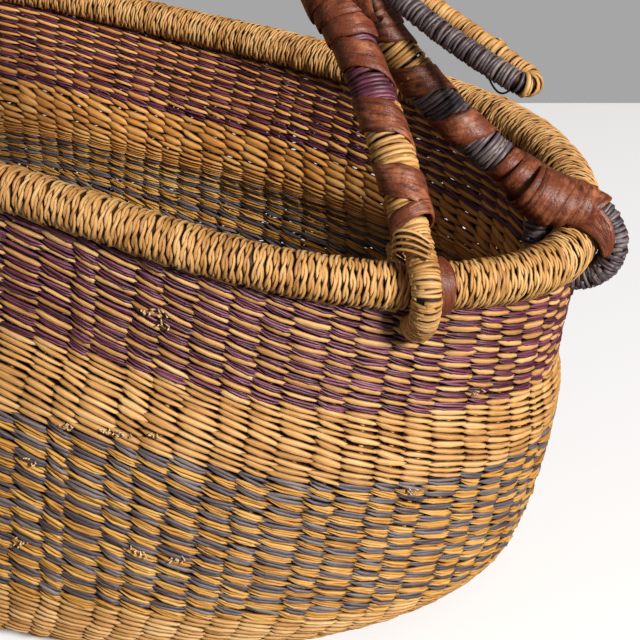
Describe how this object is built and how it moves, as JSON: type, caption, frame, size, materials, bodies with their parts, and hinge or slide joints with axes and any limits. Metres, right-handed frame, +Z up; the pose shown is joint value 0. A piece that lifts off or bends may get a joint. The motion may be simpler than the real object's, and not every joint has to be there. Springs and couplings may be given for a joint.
{
  "type": "oval bolga basket",
  "caption": "Large oval twined grass basket with a wavy wrapped rim, coloured bands and a leather-bound rope handle that forks to rope eyes round the rim, with a small rope loop past each fork.",
  "frame": {"origin": "middle of the floor's underside, which rests on the table", "axes": "+Z up, X along the oval's long axis, the pictured end at +X, Y across it"},
  "size_m": [0.53, 0.2812, 0.3663],
  "materials": {
    "maroon_band_outer": "twined grass straw, dyed and slightly glossy",
    "maroon_band_inner": "twined grass straw, dyed and slightly glossy",
    "natural_band_outer": "twined grass straw, dyed and slightly glossy",
    "natural_band_inner": "twined grass straw, dyed and slightly glossy",
    "grey_gold_band_outer": "twined grass straw, dyed and slightly glossy",
    "grey_gold_band_inner": "twined grass straw, dyed and slightly glossy",
    "lower_band_outer": "twined grass straw, dyed and slightly glossy",
    "lower_band_inner": "twined grass straw, dyed and slightly glossy",
    "base_band_outer": "twined grass straw, dyed and slightly glossy",
    "base_band_inner": "twined grass straw, dyed and slightly glossy",
    "base_centre_outer": "twined grass straw",
    "base_centre_inner": "twined grass straw",
    "stakes": "undyed grass stakes",
    "rim_core": "bundled undyed grass",
    "rim_wrap": "twisted undyed grass cord",
    "rope_front": "wrapped grass rope",
    "rope_back": "wrapped grass rope",
    "grip_leather": "soft reddish brown goat leather",
    "strap_front_right": "soft reddish brown goat leather",
    "cuff_front_right": "soft reddish brown goat leather",
    "straw_low_front_right": "wound grass straw",
    "straw_high_front_right": "wound grass straw",
    "strip_front_right": "soft reddish brown goat leather",
    "strap_back_right": "soft reddish brown goat leather",
    "cuff_back_right": "soft reddish brown goat leather",
    "straw_low_back_right": "wound grass straw",
    "straw_high_back_right": "wound grass straw",
    "strip_back_right": "soft reddish brown goat leather",
    "fork_lashing_right": "soft reddish brown goat leather, wound and creased",
    "loop_right": "wrapped grass rope",
    "strap_front_left": "soft reddish brown goat leather",
    "cuff_front_left": "soft reddish brown goat leather",
    "straw_low_front_left": "wound grass straw",
    "straw_high_front_left": "wound grass straw",
    "strip_front_left": "soft reddish brown goat leather",
    "strap_back_left": "soft reddish brown goat leather",
    "cuff_back_left": "soft reddish brown goat leather",
    "straw_low_back_left": "wound grass straw",
    "straw_high_back_left": "wound grass straw",
    "strip_back_left": "soft reddish brown goat leather",
    "fork_lashing_left": "soft reddish brown goat leather, wound and creased",
    "loop_left": "wrapped grass rope"
  },
  "bodies": {
    "basket": {"maroon_band_outer": "maroon_band_outer", "maroon_band_inner": "maroon_band_inner", "natural_band_outer": "natural_band_outer", "natural_band_inner": "natural_band_inner", "grey_gold_band_outer": "grey_gold_band_outer", "grey_gold_band_inner": "grey_gold_band_inner", "lower_band_outer": "lower_band_outer", "lower_band_inner": "lower_band_inner", "base_band_outer": "base_band_outer", "base_band_inner": "base_band_inner", "base_centre_outer": "base_centre_outer", "base_centre_inner": "base_centre_inner", "stakes": "stakes", "rim_core": "rim_core", "rim_wrap": "rim_wrap", "rope_front": "rope_front", "rope_back": "rope_back", "grip_leather": "grip_leather", "strap_front_right": "strap_front_right", "cuff_front_right": "cuff_front_right", "straw_low_front_right": "straw_low_front_right", "straw_high_front_right": "straw_high_front_right", "strip_front_right": "strip_front_right", "strap_back_right": "strap_back_right", "cuff_back_right": "cuff_back_right", "straw_low_back_right": "straw_low_back_right", "straw_high_back_right": "straw_high_back_right", "strip_back_right": "strip_back_right", "fork_lashing_right": "fork_lashing_right", "strap_front_left": "strap_front_left", "cuff_front_left": "cuff_front_left", "straw_low_front_left": "straw_low_front_left", "straw_high_front_left": "straw_high_front_left", "strip_front_left": "strip_front_left", "strap_back_left": "strap_back_left", "cuff_back_left": "cuff_back_left", "straw_low_back_left": "straw_low_back_left", "straw_high_back_left": "straw_high_back_left", "strip_back_left": "strip_back_left", "fork_lashing_left": "fork_lashing_left"},
    "loop_right": {"loop_right": "loop_right"},
    "loop_left": {"loop_left": "loop_left"}
  },
  "joints": [
    {"name": "loop_right_bend", "type": "hinge", "parent": "basket", "child": "loop_right", "pos_m": [0.16839, -0.02978, 0.2945], "axis": [-0.1741, -0.9847, 0], "range_deg": [-10, 50]},
    {"name": "loop_left_bend", "type": "hinge", "parent": "basket", "child": "loop_left", "pos_m": [-0.16839, 0.02978, 0.3225], "axis": [0.1741, 0.9847, 0], "range_deg": [-10, 50]}
  ]
}
